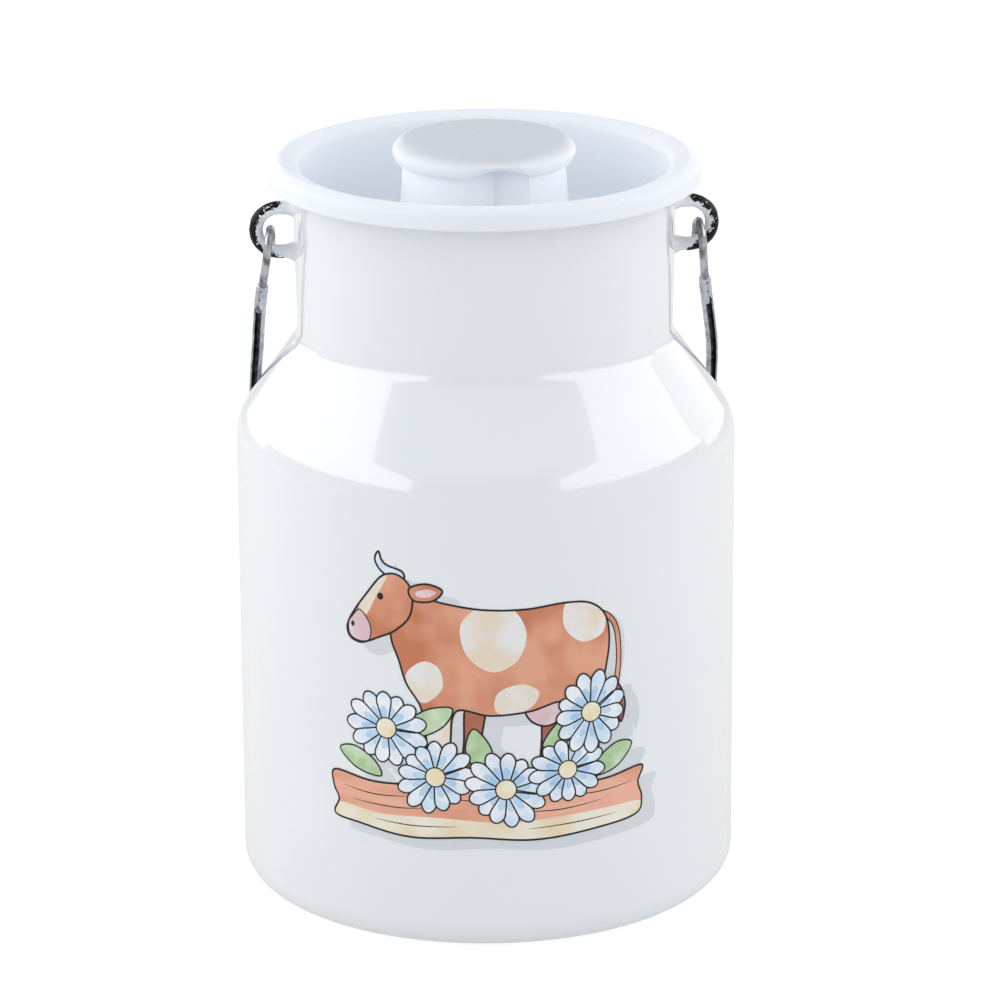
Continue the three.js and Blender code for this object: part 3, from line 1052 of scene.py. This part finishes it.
def draw_cow(picture):
    """From the far side to the near side, each part on a higher layer."""
    tail = catmull_rom([Vector(p) for p in standing(COW_TAIL)], 8)
    picture.line(tail, 1, 1.7, False)
    picture.line(tail, 1.5, 1.0, False, "brown")
    picture.shape(loop_of(standing(COW_TUFT)), "dark_brown", 2)
    for leg in COW_FAR_LEGS:
        picture.shape(loop_of(standing(leg)), "dark_brown", 2)
    picture.shape(loop_of(standing(COW_UDDER)), "pink", 3)
    body = loop_of(standing(COW_BODY))
    picture.fill(body, "brown", 4)
    for patch in COW_PATCHES:
        picture.fill(loop_of(standing(patch)), "cream", 5)
    picture.line(body, 5.5)
    picture.shape(loop_of(standing(COW_HORN)), "horn", 6)
    picture.fill(loop_of(standing(COW_HEAD)), "brown", 7)
    picture.fill(loop_of(standing(COW_BLAZE)), "cream", 7.5)
    picture.shape(loop_of(standing(COW_MUZZLE)), "pink", 8, 0.34)
    picture.line(loop_of(standing(COW_HEAD)), 8.2)
    picture.shape(loop_of(standing(COW_EAR)), "brown", 9)
    picture.fill(loop_of(standing(COW_EAR_INSIDE)), "pink", 9.6)
    nostril, eye = standing((COW_NOSTRIL, COW_EYE))
    picture.fill(spot(*nostril, 0.5, 0.75), "line", 10)
    picture.fill(spot(*eye, 0.85, 0.95), "line", 10)


def draw_rail(picture):
    picture.fill(loop_of(RAIL), "wood", 11)
    picture.fill(loop_of(RAIL_UNDER), "wood_light", 11.5)
    picture.line(loop_of(RAIL), 12)
    for grain in RAIL_GRAIN:
        line = catmull_rom([Vector(p) for p in grain], 10)
        picture.line(line, 12, 0.3, False, "line", True)


def picture_on_front():
    picture, shadow = Print(), Print()
    cow = (COW_BODY, COW_HEAD, COW_HORN, COW_EAR, COW_TUFT) + COW_FAR_LEGS
    for i, part in enumerate([standing(part) for part in cow] + [RAIL]):
        shadow.fill(loop_of(part, SHADOW_SHIFT), "shadow", 0.4 + 0.02 * i)
    draw_cow(picture)
    draw_rail(picture)
    for leaf in LEAVES:
        blade = loop_of(leaf)
        picture.shape(blade, "leaf", 13, FINE_LINE)
        shadow.fill(shadow_of(blade), "shadow", 0.7)
    for i, (centre, size, turn) in enumerate(DAISIES):
        daisy(picture, shadow, Vector(centre), size, turn, 14 + 3 * i)
    shadow.lay("print_shadow")
    picture.lay("print_picture")


picture_on_front()


# ---- floor, light and camera ----

FLOOR_SEEN = 0.78  # the floor's own light in the picture, which makes it plain white
FLOOR_GLOW = 0.44  # and the weaker light that it gives the can, which keeps the can's edges clear
FLOOR_GAP = 0.2  # under the can's foot, so that the two faces don't flicker
FLOOR_HALF = 8  # metres


def floor_material():
    material, nodes, links, shader = new_material("studio_floor")
    set_values(shader, {
        "Roughness": 0.9,
        "Specular IOR Level": 0.0,
        "Emission Color": (1, 1, 1, 1),
    })
    ray = nodes.new("ShaderNodeLightPath")
    glow = range_node(nodes, links, ray.outputs["Is Camera Ray"], FLOOR_GLOW, FLOOR_SEEN)
    links.new(glow, shader.inputs["Emission Strength"])
    fleck = noise_node(nodes, links, 3, 2, 0.5)
    links.new(
        ramp_node(nodes, links, fleck, [(0.3, (0.36, 0.36, 0.36)), (0.7, (0.38, 0.38, 0.38))]),
        shader.inputs["Base Color"],
    )
    return material


floor_mesh = bpy.data.meshes.new("studio_floor")
corners = ((-1, -1), (1, -1), (1, 1), (-1, 1))
floor_mesh.from_pydata(
    [(x * FLOOR_HALF, y * FLOOR_HALF, body_low.z - FLOOR_GAP * MM) for x, y in corners],
    [], [(0, 1, 2, 3)],
)
floor_mesh.materials.append(floor_material())
floor = bpy.data.objects.new("studio_floor", floor_mesh)
bpy.context.scene.collection.objects.link(floor)

# camera and light distances are metres
LIT_POINT = Vector((0, 0, 0.13))
LIGHT_DISTANCE = 0.95
LIGHT_COLOUR = (1.0, 0.985, 0.99)
LIGHTS = (  # name, side, azimuth from the camera, edges (front, back, low, high), radiance
    ("panel_left", -1, 102, 2.5, 0.33, 0.16, 1.16, 1.93),
    ("panel_right", 1, 102, 2.5, 0.27, 0.16, 1.16, 1.69),
    ("fill_left", -1, 145, 0.5, 0.5, 0.0, 0.85, 0.95),
    ("fill_right", 1, 145, 0.5, 0.5, 0.0, 0.85, 0.78),
)


def light_panel(name, side, azimuth, front, back, low, high, radiance):
    """Upright panel at an azimuth in degrees, turned to the can. Its edges are measured from the
    point of its plane nearest to LIT_POINT, in multiples of LIGHT_DISTANCE."""
    light = bpy.data.lights.new(name, "AREA")
    light.shape = "RECTANGLE"
    light.size = (front + back) * LIGHT_DISTANCE
    light.size_y = (high - low) * LIGHT_DISTANCE
    light.energy = radiance * math.pi * light.size * light.size_y
    light.color = LIGHT_COLOUR
    lamp = bpy.data.objects.new(name, light)
    a = side * math.radians(azimuth) + FRONT_TURN
    away = Vector((math.sin(a), -math.cos(a), 0))
    along = Vector((math.cos(a), math.sin(a), 0)) * -side
    middle = along * (front - back) / 2 + Vector((0, 0, (high + low) / 2))
    lamp.location = LIT_POINT + (away + middle) * LIGHT_DISTANCE
    lamp.rotation_euler = away.to_track_quat("Z", "Y").to_euler()
    bpy.context.scene.collection.objects.link(lamp)


for panel in LIGHTS:
    light_panel(*panel)

SKY = ((0.0, 0.72), (0.14, 0.57), (0.32, 0.47), (1.0, 0.77))  # height in the sky, brightness
SKY_TINT = (0.97, 0.985, 1)

world = bpy.data.worlds.new("studio_world")
bpy.context.scene.world = world
world.use_nodes = True
sky, sky_links = world.node_tree.nodes, world.node_tree.links
direction = sky.new("ShaderNodeTexCoord")
split = sky.new("ShaderNodeSeparateXYZ")
sky_links.new(direction.outputs["Generated"], split.inputs["Vector"])
tones = [(height, tuple(tint * light for tint in SKY_TINT)) for height, light in SKY]
sky_links.new(
    ramp_node(sky, sky_links, split.outputs["Z"], tones), sky["Background"].inputs["Color"]
)

view = bpy.context.scene.view_settings
view.view_transform = "Standard"
view.look = "None"

CAMERA_DISTANCE = 1.2977
CAMERA_HEIGHT = 0.5131
CAMERA_PITCH = math.radians(17.615)
CAMERA_YAW, CAMERA_ROLL = 0.0028, -0.0052  # radians, from looking at the can's axis, upright
CAMERA_LENS, CAMERA_SENSOR = 186.86, 36

camera_data = bpy.data.cameras.new("camera")
camera_data.lens = CAMERA_LENS
camera_data.sensor_width = CAMERA_SENSOR
camera = bpy.data.objects.new("camera", camera_data)
heading = Matrix.Rotation(FRONT_TURN - CAMERA_YAW, 4, "Z")
tilt = Matrix.Rotation(math.pi / 2 - CAMERA_PITCH, 4, "X")
roll = Matrix.Rotation(CAMERA_ROLL, 4, "Z")
stand = Vector((
    CAMERA_DISTANCE * math.sin(FRONT_TURN), -CAMERA_DISTANCE * math.cos(FRONT_TURN), CAMERA_HEIGHT
))
camera.matrix_world = Matrix.Translation(stand) @ heading @ tilt @ roll
bpy.context.scene.collection.objects.link(camera)
bpy.context.scene.camera = camera
